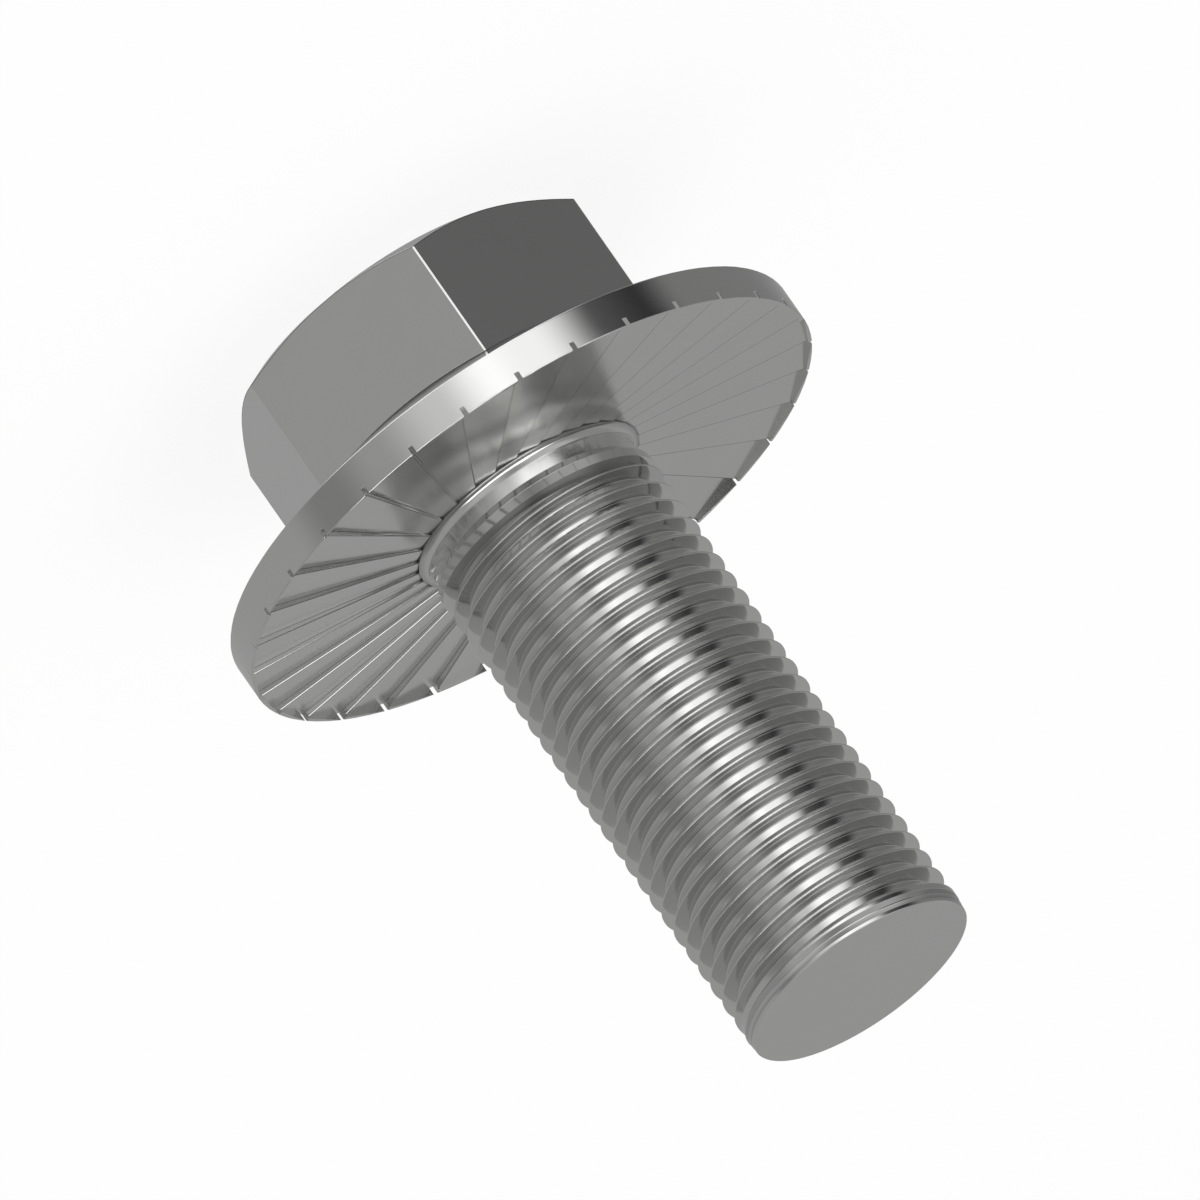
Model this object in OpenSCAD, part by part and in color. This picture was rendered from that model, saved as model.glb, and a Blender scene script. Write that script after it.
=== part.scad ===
// Cap screw with a hex head and a wide serrated flange, 5/8-18 x 1-1/2 in class.
// It stands on the flat top of its head, with the shank pointing up.
// Origin: middle of the head's flat top. +Z runs along the screw axis to the tip.
// The thread is drawn at its major diameter, as a plain cylinder.

/* [Shank] */
// Major diameter of the thread
thread_d = 15.875; // [8:0.005:19]
// From the bearing face of the flange to the tip
shank_length = 38.1; // [12:0.1:120]
// Diameter of the plain neck between flange and thread
neck_d = 14.9; // [7:0.1:15.2]
// From the bearing face to the end of the neck
neck_length = 1.1; // [0.4:0.1:5]
// Slope of the shoulder between neck and thread
shoulder_angle = 45; // [25:1:70]
// Fillet where the neck meets the flange
neck_fillet_r = 0.6; // [0.3:0.05:1]
// Length of the bevel round the tip
tip_bevel = 0.3; // [0.1:0.05:3]
// Width of the bevel round the tip
tip_bevel_w = 0.11; // [0.05:0.01:3]

/* [Hex head] */
// Width across the flats of the hex
across_flats = 23.8; // [17:0.1:30]
// From the flat top of the head to the bearing face
head_height = 15; // [10:0.1:24]
// Slope of the chamfer that rounds the hex corners, from the flat top
chamfer_angle = 30; // [15:1:45]
// From each flat of the hex in to the circle where the chamfer starts
chamfer_inset = 0.05; // [0.01:0.01:1]

/* [Flange] */
// Outside diameter of the flange
flange_d = 41.3; // [36:0.1:60]
// Height of the plain rim of the flange
rim_height = 2.55; // [1.5:0.05:4]
// Slope of the flange top, from the rim up to the hex
cone_angle = 23; // [10:1:30]

/* [Serrations] */
// Number of ratchet teeth under the flange
tooth_count = 32; // [20:1:48]
// Depth of each tooth at the foot of its step
tooth_depth = 0.55; // [0.45:0.01:0.9]
// Slope of the tooth floor, up from the foot of the step
ramp_angle = 5.2; // [2:0.1:7]
// Radius of the circle that all step lines touch
swirl_r = 3.2; // [0.5:0.1:6]
// Width of the flat ring between the neck's fillet and the teeth
ring_w = 0.05; // [0.02:0.01:4]
// Depth of that ring below the bearing face
ring_depth = 0.41; // [0.2:0.01:0.44]
// Width of the slot that each step opens in the rim
slot_w = 0.33; // [0.2:0.01:0.6]
// Width of the lip where the tooth is shallow
lip_w = 0.28; // [0.2:0.01:0.8]
// Width of the lip beside the slot
lip_end_w = 0.06; // [0.04:0.01:0.2]
// Angle from a corner of the hex to the nearest step at the rim
teeth_turn = 6.7; // [0:0.1:12]

/* [Hidden] */
$fn = 96;
thread_r = thread_d / 2;
neck_r = neck_d / 2;
flange_r = flange_d / 2;
bearing_z = head_height;
rim_z = bearing_z - rim_height;
tip_z = bearing_z + shank_length;
ring_z = bearing_z - ring_depth;
fillet_z = ring_z + neck_fillet_r;
fillet_outer_r = neck_r + neck_fillet_r;
neck_end_z = bearing_z + neck_length;
shoulder_end_z = neck_end_z + abs(thread_r - neck_r) / tan(shoulder_angle);
// the cone of the flange runs on a little way inside the hex
cone_overlap = 1;
cone_top_r = across_flats / 2 - cone_overlap;
cone_top_z = rim_z - (flange_r - cone_top_r) * tan(cone_angle);
teeth_inner_r = fillet_outer_r + ring_w;
tooth_pitch = 360 / tooth_count;
foot_z = bearing_z - tooth_depth;
// each cutter runs this far past the next step, and past the faces that it opens
past_step = 0.4;
past_face = 1;

// point of a step line at radius r, where the line runs along y = swirl_r
function on_step(r) = [sqrt(r * r - swirl_r * swirl_r), swirl_r];

// point p turned about the screw axis
function turned(p, a) = [p[0] * cos(a) - p[1] * sin(a), p[0] * sin(a) + p[1] * cos(a)];

// half section of the flange, neck and shank, with a square corner at the neck
module turned_outline() {
    polygon([
        [0, cone_top_z],
        [cone_top_r, cone_top_z],
        [flange_r, rim_z],
        [flange_r, bearing_z],
        [teeth_inner_r, bearing_z],
        [teeth_inner_r, ring_z],
        [fillet_outer_r, ring_z],
        [fillet_outer_r, fillet_z],
        [neck_r, fillet_z],
        [neck_r, neck_end_z],
        [thread_r, shoulder_end_z],
        [thread_r, tip_z - tip_bevel],
        [thread_r - tip_bevel_w, tip_z],
        [0, tip_z]
    ]);
}

// quarter circle that rounds the square corner at the neck
module neck_fillet() {
    intersection() {
        translate([fillet_outer_r, fillet_z]) circle(r = neck_fillet_r);
        translate([neck_r, ring_z]) square(neck_fillet_r);
    }
}

module turned_body() {
    rotate_extrude()
        difference() {
            turned_outline();
            neck_fillet();
        }
}

// hex prism cut to a cone, which leaves the round chamfer on its corners
module hex_head() {
    chamfer_r = across_flats / 2 - chamfer_inset;
    intersection() {
        cylinder(h = rim_z, d = across_flats / cos(30), $fn = 6);
        cylinder(h = rim_z, r1 = chamfer_r, r2 = chamfer_r + rim_z / tan(chamfer_angle));
    }
}

// plan of one tooth: step line, slot through the rim, inner side of the lip
module tooth_plan() {
    far = -tooth_pitch - past_step;
    step_in = on_step(teeth_inner_r);
    step_out = on_step(flange_r);
    slot_y = swirl_r - slot_w;
    lip_r = flange_r - lip_end_w;
    polygon([
        step_in,
        [step_out[0] + past_face, swirl_r],
        [step_out[0] + past_face, slot_y],
        [sqrt(lip_r * lip_r - slot_y * slot_y), slot_y],
        turned(on_step(flange_r - lip_w), far),
        turned(step_in, far)
    ]);
}

// space above one tooth: a steep step at y = swirl_r and a floor that rises away from it
module tooth_cut() {
    reach = flange_r + past_face;
    intersection() {
        translate([0, 0, foot_z - past_face])
            linear_extrude(tooth_depth + 2 * past_face) tooth_plan();
        translate([0, swirl_r, foot_z])
            rotate([-ramp_angle, 0, 0])
                translate([0, -reach, 0])
                    cube([reach, reach + past_face, tooth_depth + 2 * past_face]);
    }
}

module serrations() {
    first = teeth_turn - asin(swirl_r / flange_r);
    for (i = [0 : tooth_count - 1])
        rotate([0, 0, first + i * tooth_pitch]) tooth_cut();
}

module cap_screw() {
    color("silver")
        difference() {
            union() {
                hex_head();
                turned_body();
            }
            serrations();
        }
}

cap_screw();
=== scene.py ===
import bpy
import numpy as np
from mathutils import Matrix, Vector


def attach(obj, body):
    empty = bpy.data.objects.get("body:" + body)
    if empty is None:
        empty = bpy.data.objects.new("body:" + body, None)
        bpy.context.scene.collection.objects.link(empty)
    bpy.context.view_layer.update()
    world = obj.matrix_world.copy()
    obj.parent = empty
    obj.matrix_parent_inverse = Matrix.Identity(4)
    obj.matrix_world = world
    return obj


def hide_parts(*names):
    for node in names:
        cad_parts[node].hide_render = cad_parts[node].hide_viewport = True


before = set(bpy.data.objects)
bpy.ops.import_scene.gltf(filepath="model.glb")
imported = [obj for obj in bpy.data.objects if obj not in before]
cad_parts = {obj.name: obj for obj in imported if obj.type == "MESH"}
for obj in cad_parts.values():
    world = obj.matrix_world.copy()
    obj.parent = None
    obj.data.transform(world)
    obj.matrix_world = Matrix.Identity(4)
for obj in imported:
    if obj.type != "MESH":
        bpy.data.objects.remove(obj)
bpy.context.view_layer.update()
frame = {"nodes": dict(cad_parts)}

print("frame loaded:", ", ".join(frame["nodes"]))

mm = 0.001
cameraPolar = -106.2    # polar angle from which the photo looks at the screw, degrees
cameraRise = 20.4       # how far the camera stands above a plane across the axis, on the tip's side

# millimetres and degrees; z runs from the flat top of the head to the tip
screw = {
    "threadD": 15.875, "neckD": 14.9, "tipZ": 53.1, "bearingZ": 15.0,
    "neckEndZ": 16.1, "shoulderEndZ": 16.5875, "neckFillet": 0.6,
    "acrossFlats": 23.8, "chamferR": 11.85, "chamferSlope": 30, "cornerFlat": 0.13,
    "flangeR": 20.65, "rimZ": 12.45, "coneSlope": 23,
    "edge": 0.08,        # bevel between the cone and the rim
    "neckTaper": 0.14,   # by which the neck narrows towards the shank
    "neckEdge": 0.02, "shoulderEdge": 0.03,   # bevels at both ends of the shoulder
}

# distances off the head's edges at which fine rows stand
fine = {
    "topIn": 0.04, "topOut": 0.02, "topLeast": 0.02,           # round the flat top, the next row's least z
    "chamferIn": 0.015, "chamferUp": 0.01, "flatDown": 0.02,   # bevel between the chamfer and a flat
    "hexLine": 0.09,                                           # end of the painted shade line beside that
    "flatUp": 0.03, "coneOut": 0.05,                           # bevel between a flat and the cone
    "conePaintedShade": 3, "coneUnshaded": 0.4, "rimLine": 0.02,          # changes of painted shade on the cone, from the rim
    "lipEdge": 0.01,                                           # bevel at the lip's inner side
}

# how dark these lines and bands are with painted shade, which darkens creases, feet and recesses, and how
# matte these faces, from 0 to 1
paintedShadeOn = {"hexTop": 0.9, "hexFoot": 1, "cone": 0.65, "rim": 0.6, "toothEnd": 0.8, "ring": 0.6, "fillet": 0.45}
matteOn = {"teeth": 1, "fillet": 0.4, "neck": 0.3}
flatShare = 0.9    # a row at this share of a flat end's radius keeps the end flat
filletSteps = 8
filletUnshaded = 45   # degrees into the fillet at which its painted shade ends

teeth = {
    "count": 32, "depth": 0.55, "ramp": 5.2, "swirlR": 3.2,
    "firstStep": -2.215,   # polar direction of the first step's line
    "slotW": 0.33, "lipW": 0.28, "lipEndW": 0.06, "ringDepth": 0.41, "innerR": 8.1,
    "lipEdge": 0.055,      # bevel between the rim and the bearing face
    # widths of the bevel along a step's upper edge and of the painted shade line at its foot, as shares of a
    # tooth at the lip, and how far that bevel drops
    "crestShare": 0.014, "footShare": 0.009, "crestDrop": 0.039,
    # further columns of a tooth, as shares of it, and rows of its floor, as shares of the way from the lip
    "columns": (0.4, 0.73), "rows": (0, 0.04, 0.35, 0.7, 0.985, 1),
    "footTo": 0.02, "crestFrom": 0.9,   # columns beyond these shares stand beside a step
}

thread = {
    "pitch": 25.4 / 18, "depth": 1.04, "crestZ": 16.794,   # height of a crest on the camera's side
    "firstZ": 17.2, "endZ": 52.17,                         # the grooves stay between these
    "fadeFrom": 24.08, "fadeTo": 24.3,                     # turns from that crest, where the groove runs out
    "edgePaintedShade": 0.35,                                      # painted shade line beside each crest, on the tip's side
    "neckPaintedShade": 0.2, "neckPaintedShadeZ": (18.1, 19.6),            # painted shade on the first grooves next to the flange, and where it fades
    # one pitch of the profile, from crest to crest: share of the pitch, share of the depth
    "profile": ((-0.018, 0), (0.018, 0), (0.045, 0.032), (0.12, 0.485), (0.2, 0.955), (0.24, 1),
                (0.38, 1), (0.53, 1), (0.575, 0.955), (0.764, 0.48), (0.95, 0.032), (0.982, 0)),
}

# two narrow steps and a bevel between the last groove and the end face: height, depth, painted shade
tip = {
    "faceR": 7.8275, "edge": 0.02,
    "profile": ((52.18, 0, 0), (52.22, 0.03, 0.3), (52.5, 0.12, 0.3), (52.54, 0.05, 0), (52.59, 0.05, 0),
                (52.84, 0.13, 0.4), (52.88, 0.08, 0), (53.05, 0.09, 0)),
}


def sind(a): return np.sin(np.radians(a))
def cosd(a): return np.cos(np.radians(a))
def tand(a): return np.tan(np.radians(a))


# Polar angle, at radius r, of a line that touches the circle of radius swirlR: asin(swirlR / r)
def swirlAngle(r):
    return np.degrees(np.arcsin(teeth["swirlR"] / r))


# Columns of the screw's grid. g counts teeth clockwise, seen from the tip, and its fraction f runs from a
# tooth's deep step to the next step. A step and a slot's end have two columns at one angle, so a wall stands
# there, and narrow ones beside a step hold its painted shade line and its bevel. Two more columns at each
# corner of the hex are the sides of its narrow flat.
def screwColumns():
    pitch = 360 / teeth["count"]
    slotA = np.degrees(np.arcsin((teeth["swirlR"] - teeth["slotW"]) / screw["flangeR"]))
    slotShare = (swirlAngle(screw["flangeR"]) - slotA) / pitch
    crest, foot = teeth["crestShare"], teeth["footShare"]
    f = np.array([0, foot, 2 * foot, slotShare, slotShare, *teeth["columns"], 1 - 2 * crest, 1 - crest, 1])
    g = (np.arange(teeth["count"])[:, None] + f).ravel()
    # the lip starts at the second column of the slot's end
    f, hasLip = np.tile(f, teeth["count"]), np.tile(np.arange(len(f)) > 3, teeth["count"])
    half = np.degrees(screw["cornerFlat"] / 2 / (screw["acrossFlats"] / 2 / cosd(30)))
    corner = (60 * np.arange(6)[:, None] + np.array([-half, half])).ravel()
    gCorner = (teeth["firstStep"] + swirlAngle(screw["flangeR"]) - corner) / pitch % teeth["count"]
    g, f = np.append(g, gCorner), np.append(f, gCorner % 1)
    hasLip = np.append(hasLip, gCorner % 1 > slotShare)
    order = np.argsort(g, kind="stable")
    return g[order], f[order], hasLip[order], slotShare


# Radius of the hex at polar angle a: the nearer of a flat, AF/2 / cos(a - flat), and a corner's own narrow
# flat, d / cos(a - corner)
def hexRadius(a):
    corner = screw["acrossFlats"] / 2 / cosd(30) - screw["cornerFlat"] / 2 / tand(60)
    return np.minimum(screw["acrossFlats"] / 2 / cosd(a % 60 - 30), corner / cosd((a + 30) % 60 - 30))


# Height of a tooth's floor: foot + tan(ramp) (swirlR - y), where y = swirlR cos(f p) - x sin(f p) and
# x = sqrt(r^2 - swirlR^2)
def floorZ(r, f):
    s, p = teeth["swirlR"], 360 / teeth["count"]
    y = s * cosd(f * p) - np.sqrt(r * r - s * s) * sind(f * p)
    return screw["bearingZ"] - teeth["depth"] + tand(teeth["ramp"]) * (s - y)


# Radius of the lip's inner side, a straight line c to d in plan: cross(c, d - c) / cross(unit(a), d - c)
def lipRadius(f):
    s, outer, inner = teeth["swirlR"], screw["flangeR"] - teeth["lipEndW"], screw["flangeR"] - teeth["lipW"]
    pitch, slotY = 360 / teeth["count"], s - teeth["slotW"]
    c = np.array([np.sqrt(outer ** 2 - slotY ** 2), slotY])
    end = swirlAngle(inner) - pitch
    e = inner * np.array([cosd(end), sind(end)]) - c
    a = swirlAngle(inner) - f * pitch
    return np.minimum((c[0] * e[1] - c[1] * e[0]) / (cosd(a) * e[1] - sind(a) * e[0]), outer)


# Depth of the thread at height z and turn t, which is the polar angle from the camera's over 360: the
# profile at (z - crestZ) / pitch - t, times a fade along the last groove
def threadDepth(z, t):
    share, depth = np.array(thread["profile"], float).T
    turns = (z - thread["crestZ"]) / thread["pitch"] - t
    groove = np.floor(turns - share[0])
    x = (groove + t - thread["fadeFrom"]) / (thread["fadeTo"] - thread["fadeFrom"])
    fade = 1 - np.clip(x, 0, 1) ** 2 * (3 - 2 * np.clip(x, 0, 1))
    return np.interp(turns - groove, share, depth) * thread["depth"] * fade


# The whole screw as one closed grid: rows run from the middle of the head's top to the middle of the tip,
# columns run clockwise round the axis. Rows that lie a few hundredths apart are fine bevels. Gives points,
# the corners of the quads between them, which quads are flat and not turned round the axis, and how much
# painted shade and matte finish each point has.
def screwGrid():
    s, t = screw, teeth
    g, f, hasLip, slotShare = screwColumns()
    pitch, flangeR = 360 / t["count"], s["flangeR"]
    # the seam lies at the back, half a turn from the camera
    turn = ((t["firstStep"] - g * pitch + swirlAngle(t["innerR"]) - cameraPolar) / 360 + 0.5) % 1 - 0.5
    g, f, hasLip, turn = (np.roll(a, -np.argmax(turn)) for a in (g, f, hasLip, turn))
    inside = turn * 360 + cameraPolar
    base = inside - swirlAngle(t["innerR"])
    outside = base + swirlAngle(flangeR)
    rows, flat = [], []

    # flat says that the quads up to this row are flat
    def row(r, z, a, isFlat=False, paintedShade=0, matte=0):
        rows.append(np.broadcast_arrays(r, z, a, paintedShade, matte))
        flat.append(isFlat)

    # head: flat top, chamfer, hex, then the cone of the flange
    hexR = hexRadius(outside)
    topZ = (hexR - s["chamferR"]) * tand(s["chamferSlope"])
    coneZ = lambda r: s["rimZ"] - (flangeR - r) * tand(s["coneSlope"])
    row(0, 0, outside)
    row(s["chamferR"] * flatShare, 0, outside)
    row(s["chamferR"] - fine["topIn"], 0, outside)
    row(s["chamferR"] + fine["topOut"], fine["topOut"] * tand(s["chamferSlope"]), outside)
    row(hexR - fine["chamferIn"], np.maximum(topZ - fine["chamferUp"], fine["topLeast"]), outside)
    # painted shade in the next rows: a dark line under the chamfer on each flat, then a dark band from the
    # hex's foot that fades out across the cone, and a thin dark line just before the rim's bevel
    row(hexR, topZ + fine["flatDown"], outside, True, paintedShadeOn["hexTop"])
    row(hexR, topZ + fine["hexLine"], outside, True)
    row(hexR, coneZ(hexR) - fine["flatUp"], outside, True)
    row(hexR + fine["coneOut"], coneZ(hexR + fine["coneOut"]), outside, True, paintedShadeOn["hexFoot"])
    for off, paintedShade in ((fine["conePaintedShade"], paintedShadeOn["cone"]), (fine["coneUnshaded"], 0),
                      (s["edge"] + fine["rimLine"], paintedShadeOn["rim"]), (s["edge"], 0)):
        row(flangeR - off, coneZ(flangeR - off), outside, False, paintedShade)
    # rim and lip, which drop to the tooth's floor in each slot
    crest = np.where(f == 1, t["crestDrop"], 0)
    lipIn = lipRadius(f)
    lipZ = np.where(hasLip, s["bearingZ"] - crest / 2, floorZ(flangeR, f))
    slotZ = floorZ(flangeR, np.where(f > t["crestFrom"], 0, np.minimum(f, slotShare)))
    row(flangeR, s["rimZ"] + s["edge"], outside)
    row(flangeR, slotZ - t["lipEdge"], outside)
    row(flangeR, lipZ - t["lipEdge"], outside)
    row(flangeR - t["lipEdge"], lipZ, outside)
    row(lipIn + fine["lipEdge"], lipZ, base + swirlAngle(lipIn))
    row(lipIn, np.where(hasLip, lipZ - fine["lipEdge"], floorZ(lipIn, f)), base + swirlAngle(lipIn), True)
    # tooth floors, flat along lines that touch the swirl circle, then the ring inside them
    innerIn = t["innerR"] * cosd(pitch / 2) / cosd((f - 0.5) * pitch)
    ringZ = s["bearingZ"] - t["ringDepth"]
    # painted shade: a dark line on the narrow columns at each step's upper edge and at its foot, along the
    # floors' inner end on the last row, and on the ring inside them
    paintedShade = (f == 1 - t["crestShare"]) + (f == t["footShare"])
    for share in t["rows"]:
        r = lipIn + (innerIn - lipIn) * share
        # the edge's bevel and the foot's painted shade line keep their width: f turns into f k or 1 - (1 - f)
        # k
        k = lipIn / r
        own = np.where(f > t["crestFrom"], 1 - (1 - f) * k, np.where(f < t["footTo"], f * k, f))
        a = base + swirlAngle(r) + (f - own) * pitch
        linePaintedShade = np.maximum(paintedShade, paintedShadeOn["toothEnd"] * (share == 1))
        row(r, floorZ(r, own) - crest, a, True, linePaintedShade, matteOn["teeth"])
    row(innerIn, np.maximum(ringZ, floorZ(innerIn, own) - crest), a, True, paintedShadeOn["ring"], matteOn["teeth"])
    # fillet, neck and shoulder, up to the first crest
    neckR, threadR, filletR = s["neckD"] / 2, s["threadD"] / 2, s["neckFillet"]
    # painted shade in the fillet's corner, fading out a few tens of degrees in
    for a in np.linspace(0, 90, filletSteps):
        r, z = neckR + filletR * (1 - sind(a)), ringZ + filletR * (1 - cosd(a))
        row(r, z, inside, False, paintedShadeOn["fillet"] * max(0, 1 - a / filletUnshaded), matteOn["fillet"])
    taper, edge, shoulder = s["neckTaper"], s["neckEdge"], s["shoulderEdge"]
    row(neckR - taper, s["neckEndZ"] - taper - edge, inside, False, 0, matteOn["neck"])
    row(neckR - taper + edge, s["neckEndZ"] - taper + 2 * edge, inside)
    row(threadR - shoulder, s["shoulderEndZ"] - shoulder, inside)
    row(threadR, s["shoulderEndZ"] + shoulder, inside)
    row(threadR, thread["firstZ"], inside)
    before = len(rows)
    # thread: every row climbs one pitch in a turn, and is held between the plain ends
    share = np.array([p[0] for p in thread["profile"][:-1]])
    # the first groove starts with a wall that slopes like the others
    wall = thread["firstZ"] + (share[4] - share[1]) * thread["pitch"]
    count = int((thread["endZ"] - thread["crestZ"]) / thread["pitch"]) + 3
    for k in (np.arange(-2, count)[:, None] + share).ravel():
        z = np.clip(thread["crestZ"] + thread["pitch"] * (k + turn), wall, thread["endZ"])
        # painted shade: a thin dark line beside each crest on the tip's side, and a darkening of the first
        # grooves next to the flange
        paintedShade = thread["edgePaintedShade"] * (k % 1 == share[2])
        paintedShade = paintedShade + thread["neckPaintedShade"] * np.interp(z, thread["neckPaintedShadeZ"], (1, 0))
        row(threadR - threadDepth(z, turn), z, inside, False, paintedShade)
    after = len(rows)
    # collar at the tip, then the end face
    # painted shade in the collar's two narrow grooves
    for z, depth, paintedShade in tip["profile"]:
        row(threadR - depth, z, inside, False, paintedShade)
    row(tip["faceR"] - tip["edge"], s["tipZ"], inside)
    row(tip["faceR"] * flatShare, s["tipZ"], inside)
    row(0, s["tipZ"], inside)

    r, z, a, paintedShade, matte = (np.array(part, float) for part in zip(*rows))
    points = np.stack([r * cosd(a), r * sind(a), z], -1)
    index = np.arange(r.size).reshape(r.shape)
    right = np.roll(index, -1, 1)
    climb = np.arange(before, after)
    right[climb, -1] = index[np.maximum(climb - len(share), before), 0]
    quads = np.stack([index[:-1], index[1:], right[1:], right[:-1]], -1)
    isFlat = np.repeat(flat[1:], len(g))
    return points.reshape(-1, 3), quads.reshape(-1, 4), isFlat, {"paintedShade": paintedShade.ravel(), "matte": matte.ravel()}


# normals at one point that differ by less than this, in degrees, are smoothed: where one or both of their
# quads are turned round the axis, and where both are flat
smoothUnder = {"turned": 50, "flat": 20}
compared = 12     # corners of one point that follow each other in the list and are compared
pointGrid = 1e4   # points are rounded to this part of a millimetre, and equal ones made one
tiny = 1e-12      # keeps lengths and weights off zero


# Normals at the corners of the quads. Each starts as its quad's own, the cross product of the diagonals,
# turned about the axis with the corner unless the quad is flat. Then those at one point that point nearly
# the same way are added up by the squares of their quads' areas.
def cornerNormals(points, quads, isFlat, same):
    corner = points[quads]
    own = np.cross(corner[:, 2] - corner[:, 0], corner[:, 3] - corner[:, 1])
    area = np.linalg.norm(own, axis=1)
    own = own / np.maximum(area, tiny)[:, None]
    x, y = corner[..., 0], corner[..., 1]
    middleX, middleY = x.sum(1)[:, None], y.sum(1)[:, None]
    turn = np.arctan2(middleX * y - middleY * x, middleX * x + middleY * y) * ~isFlat[:, None]
    normal = np.stack([own[:, :1] * np.cos(turn) - own[:, 1:2] * np.sin(turn),
                       own[:, :1] * np.sin(turn) + own[:, 1:2] * np.cos(turn), own[:, 2:] + 0 * turn], -1)
    point = same[quads].ravel()
    order = np.argsort(point, kind="stable")
    point, normal = point[order], normal.reshape(-1, 3)[order]
    weight = np.repeat(area ** 2, 4)[order][:, None] + tiny
    hard = np.repeat(isFlat, 4)[order]
    total = normal * weight
    for k in range(1, compared):
        reach = np.where(hard[k:] & hard[:-k], smoothUnder["flat"], smoothUnder["turned"])
        near = (point[k:] == point[:-k]) & ((normal[k:] * normal[:-k]).sum(1) > cosd(reach))
        total[k:] += near[:, None] * weight[:-k] * normal[:-k]
        total[:-k] += near[:, None] * weight[k:] * normal[k:]
    result = np.empty_like(total)
    result[order] = total / np.maximum(np.linalg.norm(total, axis=1), tiny)[:, None]
    return result.reshape(quads.shape + (3,))


# A mesh of those quads with equal points made one; a quad that lost one corner becomes a triangle
def closedMesh(name, points, quads, isFlat, attributes):
    _, keep, same = np.unique(np.round(points * pointGrid).astype(np.int64), axis=0, return_index=True,
                              return_inverse=True)
    normals = cornerNormals(points, quads, isFlat, same.ravel())
    quads = same.ravel()[quads]
    twin = quads == np.roll(quads, -1, 1)
    folded = (quads[:, 0] == quads[:, 2]) | (quads[:, 1] == quads[:, 3])
    fours = quads[(twin.sum(1) == 0) & ~folded]
    few = (twin.sum(1) == 1) & ~folded
    threes = quads[few][~twin[few]].reshape(-1, 3)
    used, corners = np.unique(np.concatenate([fours.ravel(), threes.ravel()]), return_inverse=True)
    mesh = bpy.data.meshes.new(name)
    mesh.vertices.add(len(used))
    mesh.vertices.foreach_set("co", (points[keep[used]] * mm).astype(np.float32).ravel())
    mesh.loops.add(len(corners))
    mesh.loops.foreach_set("vertex_index", corners.astype(np.int32).ravel())
    starts = np.concatenate([np.arange(len(fours)) * 4, len(fours) * 4 + np.arange(len(threes)) * 3])
    mesh.polygons.add(len(starts))
    mesh.polygons.foreach_set("loop_start", starts.astype(np.int32))
    mesh.update(calc_edges=True)
    for label, values in attributes.items():
        mesh.attributes.new(label, "FLOAT", "POINT").data.foreach_set("value", values[keep[used]])
    mesh.shade_smooth()
    whole = normals[(twin.sum(1) == 0) & ~folded].reshape(-1, 3)
    mesh.normals_split_custom_set(np.concatenate([whole, normals[few][~twin[few]]]).tolist())
    return mesh


# One socket whose arithmetic adds Math nodes to the tree
class Wire:
    def __init__(self, shader, socket):
        self.shader, self.socket = shader, socket

    def math(self, operation, *values):
        node = self.shader.node("ShaderNodeMath", {"operation": operation}, dict(enumerate(values)))
        return Wire(self.shader, node.outputs[0])

    def __add__(self, other): return self.math("ADD", self, other)
    def __radd__(self, other): return self.math("ADD", other, self)
    def __sub__(self, other): return self.math("SUBTRACT", self, other)
    def __rsub__(self, other): return self.math("SUBTRACT", other, self)
    def __mul__(self, other): return self.math("MULTIPLY", self, other)
    def __rmul__(self, other): return self.math("MULTIPLY", other, self)
    def __abs__(self): return self.math("ABSOLUTE", self)

    # 0 below low, 1 above high, smooth between them
    def ramp(self, low, high, floor=0.0, top=1.0):
        node = self.shader.node("ShaderNodeMapRange", {"interpolation_type": "SMOOTHSTEP"},
                                {0: self, 1: low, 2: high, 3: floor, 4: top})
        return Wire(self.shader, node.outputs[0])


# A material's or world's tree, where every node comes from one method
class Shader:
    def __init__(self, owner):
        owner.use_nodes = True
        self.tree = owner.node_tree
        self.tree.nodes.clear()

    def node(self, kind, settings=None, sockets=None):
        node = self.tree.nodes.new(kind)
        for name, value in (settings or {}).items():
            setattr(node, name, value)
        for name, value in (sockets or {}).items():
            if isinstance(value, Wire):
                value = value.socket
            if isinstance(value, bpy.types.NodeSocket):
                self.tree.links.new(value, node.inputs[name])
            else:
                node.inputs[name].default_value = value
        return node

    def wire(self, kind, output, settings=None, sockets=None):
        return Wire(self, self.node(kind, settings, sockets).outputs[output])


# roughness, and how much more the matte floors of the teeth have; painted shade darkens the steel, and past a
# threshold it turns the steel into a dull dark coat that stands in for shade; mottle is the change of shade
steel = {
    "tint": (1, 1, 0.985), "shade": 0.70, "mottle": 0.04, "paintedShadeDepth": 0.5,
    "paintedShadeCoat": (0.05, 0.05, 0.05, 1), "paintedShadeFrom": 0.5, "paintedShadeRoughness": 0.9,
    "roughness": 0.09, "matteRoughness": 0.09, "spread": 0.05,
    "grain": 600, "grainShare": 0.4, "blotch": 140, "bump": 0.05, "bumpHeight": 0.000002,
}


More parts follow.
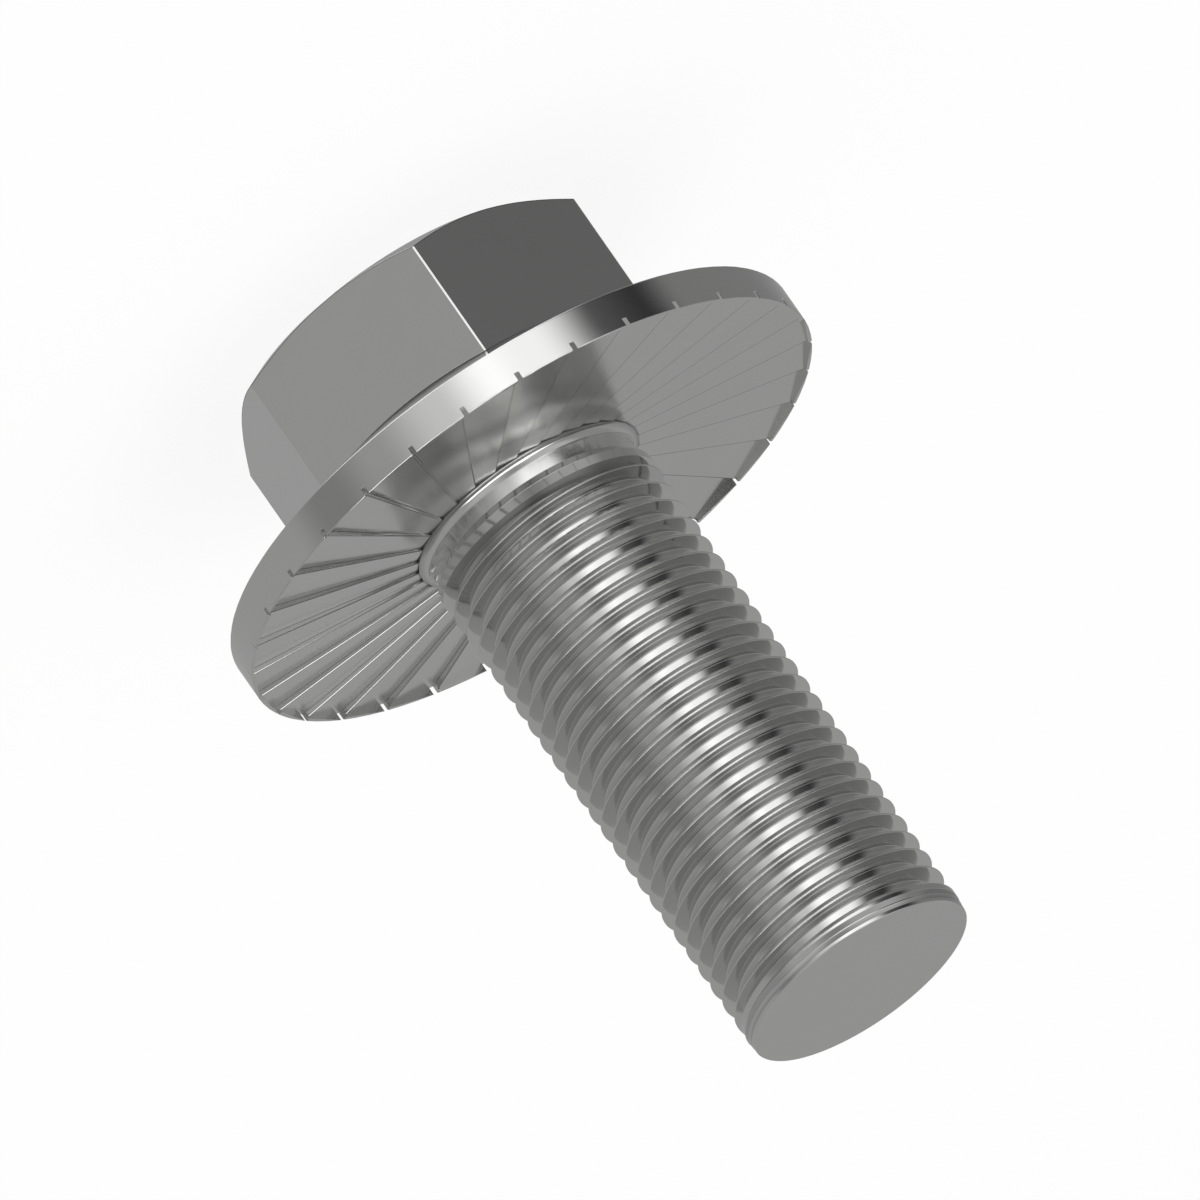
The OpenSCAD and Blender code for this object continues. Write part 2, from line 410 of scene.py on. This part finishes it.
def steelMaterial():
    material = bpy.data.materials.new("brightSteel")
    s = Shader(material)
    place = s.wire("ShaderNodeTexCoord", "Object")
    grain, blotch = (s.wire("ShaderNodeTexNoise", "Fac", None, {"Vector": place, "Scale": steel[name]})
                     for name in ("grain", "blotch"))
    # the painted shade attribute lowers the steel's colour in creases and along edges
    paintedShade = s.wire("ShaderNodeAttribute", "Fac", {"attribute_name": "paintedShade"})
    matte = s.wire("ShaderNodeAttribute", "Fac", {"attribute_name": "matte"})
    noise = grain * steel["grainShare"] + blotch * (1 - steel["grainShare"]) - 0.5
    rough = steel["roughness"] + matte * steel["matteRoughness"] + noise * steel["spread"]
    shade = steel["shade"] - paintedShade * steel["paintedShadeDepth"] + noise * steel["mottle"]
    colour = s.node("ShaderNodeVectorMath", {"operation": "SCALE"}, {0: steel["tint"], "Scale": shade})
    bump = s.node("ShaderNodeBump", None, {"Strength": steel["bump"], "Distance": steel["bumpHeight"],
                                           "Height": grain})
    surface = s.node("ShaderNodeBsdfPrincipled", None, {
        "Base Color": colour.outputs[0], "Metallic": 1.0, "Roughness": rough, "Normal": bump.outputs[0]})
    # painted shade: a dark, rough coat mixed in where that attribute is high
    paintedShadeCoat = s.node("ShaderNodeBsdfPrincipled", None, {"Base Color": steel["paintedShadeCoat"],
                                                      "Roughness": steel["paintedShadeRoughness"]})
    mixed = s.node("ShaderNodeMixShader", None, {0: paintedShade.ramp(steel["paintedShadeFrom"], 1.0), 1: surface.outputs[0],
                                                 2: paintedShadeCoat.outputs[0]})
    s.node("ShaderNodeOutputMaterial", None, {"Surface": mixed.outputs[0]})
    return material


# the camera sees this much plain white in the floor, and the paint with its shadow in the rest
floorPaint = {"colour": (0.88, 0.88, 0.88, 1), "white": 0.9, "size": 1.5}


def floorMaterial():
    material = bpy.data.materials.new("paleFloor")
    s = Shader(material)
    camera = s.wire("ShaderNodeLightPath", "Is Camera Ray")
    matte = s.node("ShaderNodeBsdfDiffuse", None, {"Color": floorPaint["colour"]})
    white = s.node("ShaderNodeEmission", None, {"Color": (1, 1, 1, 1), "Strength": 1.0})
    mixed = s.node("ShaderNodeMixShader", None, {0: camera * floorPaint["white"], 1: matte.outputs[0],
                                                 2: white.outputs[0]})
    s.node("ShaderNodeOutputMaterial", None, {"Surface": mixed.outputs[0]})
    return material


# Studio round the screw, seen by glossy rays, with an ambient level that soft boxes and black cards change.
# The ring stands between two heights, low and high, each with a soft edge. The rest is outside it, top is
# above topFrom, and a lamp hangs over and under the screw. Other rays see floorLight, or white from the
# camera. Angles run clockwise, seen from the tip, from the camera's side. Each box, or card where it is
# negative: middle, half width, soft edge, brightness
studio = {
    "ambient": 0.38, "floorLight": 0.75, "ringLow": -0.8, "lowSoft": 0.06, "ringHigh": 0.05, "highSoft": 0.03,
    "poles": (0.88, 0.92), "zenith": 0.7, "nadir": 1.3,
    "ring": {"box": (26, 8, 24, 0.87), "glow": (-2, 5, 26, 0.35), "card": (68, 8, 20, -0.21),
             "right": (112, 22, 60, -0.15), "gap": (-58, 4, 18, -0.13)},
    "rest": {"left": (-28, 8, 26, 0.17), "right": (46, 12, 28, 0.2), "front": (4, 4, 20, -0.05),
             "shade": (104, 14, 20, -0.07)},
    "top": {"back": (-142, 16, 18, -0.14)}, "topFrom": (0.5, 0.58),
}


def makeWorld():
    world = bpy.data.worlds.new("studio")
    bpy.context.scene.world = world
    s = Shader(world)
    split = s.node("ShaderNodeSeparateXYZ", None, {0: s.node("ShaderNodeTexCoord").outputs["Generated"]})
    x, y, z = (Wire(s, o) for o in split.outputs)
    towards, across = float(cosd(cameraPolar)), float(sind(cameraPolar))
    angle = x.math("ARCTAN2", x * across - y * towards, x * towards + y * across) * (180 / np.pi)

    # sum of soft bands, each full within half of its middle and gone past half + soft
    def bands(name):
        total = 0
        for at, half, soft, level in studio[name].values():
            off = abs(angle.math("WRAP", angle - at, 180.0, -180.0))
            total = total + off.ramp(half, half + soft, float(level), 0.0)
        return total

    low, lowSoft, high, highSoft = (studio[name] for name in ("ringLow", "lowSoft", "ringHigh", "highSoft"))
    ring = z.ramp(low - lowSoft, low + lowSoft) * z.ramp(high - highSoft, high + highSoft, 1.0, 0.0)
    level = studio["ambient"] + ring * bands("ring") + (1 - ring) * bands("rest")
    level = level + z.ramp(*studio["topFrom"]) * bands("top")
    pole, poleFull = studio["poles"]
    level = level + z.ramp(pole, poleFull, 0.0, studio["zenith"])
    level = level + z.ramp(-poleFull, -pole, studio["nadir"], 0.0)
    path = s.node("ShaderNodeLightPath")
    seen, glossy, through = (Wire(s, path.outputs[n]) for n in
                             ("Is Camera Ray", "Is Glossy Ray", "Is Transmission Ray"))
    white = seen.math("MAXIMUM", seen, through)
    strength = white + glossy * level + (1 - white) * (1 - glossy) * studio["floorLight"]
    shine = s.node("ShaderNodeBackground", None, {"Color": (1, 1, 1, 1), "Strength": strength})
    s.node("ShaderNodeOutputWorld", None, {"Surface": shine.outputs[0]})


# Axes of the camera: back is unit(polar, rise). Its picture is rolled until the tip points down and right,
# as in the photo, by 90 + 55.12 degrees from upright. It looks at the bearing face, moved by so many
# pixels of so many millimetres
view = {"scale": 74.6, "distance": 300, "alongAxis": 112.8, "acrossAxis": -3.95, "pixel": 0.0622,
        "tipX": 0.57186, "tipY": -0.82035, "near": 10, "far": 5000}


def makeCamera():
    level = cosd(cameraRise)
    back = Vector((level * cosd(cameraPolar), level * sind(cameraPolar), sind(cameraRise)))
    side = Vector((-sind(cameraPolar), cosd(cameraPolar), 0))
    up = back.cross(side)
    right = view["tipX"] * up + view["tipY"] * side
    top = view["tipY"] * up - view["tipX"] * side
    look = Vector((0, 0, screw["bearingZ"]))
    look += view["pixel"] * (view["alongAxis"] * up + view["acrossAxis"] * side)
    data = bpy.data.cameras.new("camera")
    data.type, data.ortho_scale = "ORTHO", view["scale"] * mm
    data.clip_start, data.clip_end = view["near"] * mm, view["far"] * mm
    camera = bpy.data.objects.new("camera", data)
    bpy.context.scene.collection.objects.link(camera)
    turned = Matrix((right, top, back)).transposed().to_4x4()
    camera.matrix_world = Matrix.Translation((look + back * view["distance"]) * mm) @ turned
    bpy.context.scene.camera = camera


# square lamp over the screw, in metres
lamp = {"size": 0.5, "height": 0.55, "watts": 1.1}


def makeLamp():
    data = bpy.data.lights.new("topLight", "AREA")
    data.shape, data.size, data.energy = "SQUARE", lamp["size"], lamp["watts"]
    light = bpy.data.objects.new("topLight", data)
    light.location = (0, 0, lamp["height"])
    bpy.context.scene.collection.objects.link(light)


def addPiece(mesh, material):
    piece = bpy.data.objects.new(mesh.name, mesh)
    bpy.context.scene.collection.objects.link(piece)
    mesh.materials.append(material)
    return piece


mesh = closedMesh("screwBody", *screwGrid())
body = addPiece(mesh, steelMaterial())
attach(body, "root")
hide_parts("cap_screw")
print("screw:", len(mesh.vertices), "points,", len(mesh.polygons), "faces")

floorMesh = bpy.data.meshes.new("floor")
floorCorners = np.array([(-1, -1, 0), (1, -1, 0), (1, 1, 0), (-1, 1, 0)]) * floorPaint["size"] / 2
floorMesh.from_pydata(floorCorners.tolist(), [], [(0, 1, 2, 3)])
floor = addPiece(floorMesh, floorMaterial())
floor.visible_glossy = floor.visible_shadow = False

makeWorld()
makeLamp()
makeCamera()
bpy.context.scene.view_settings.view_transform = "Standard"
print("studio: world, top light and camera")
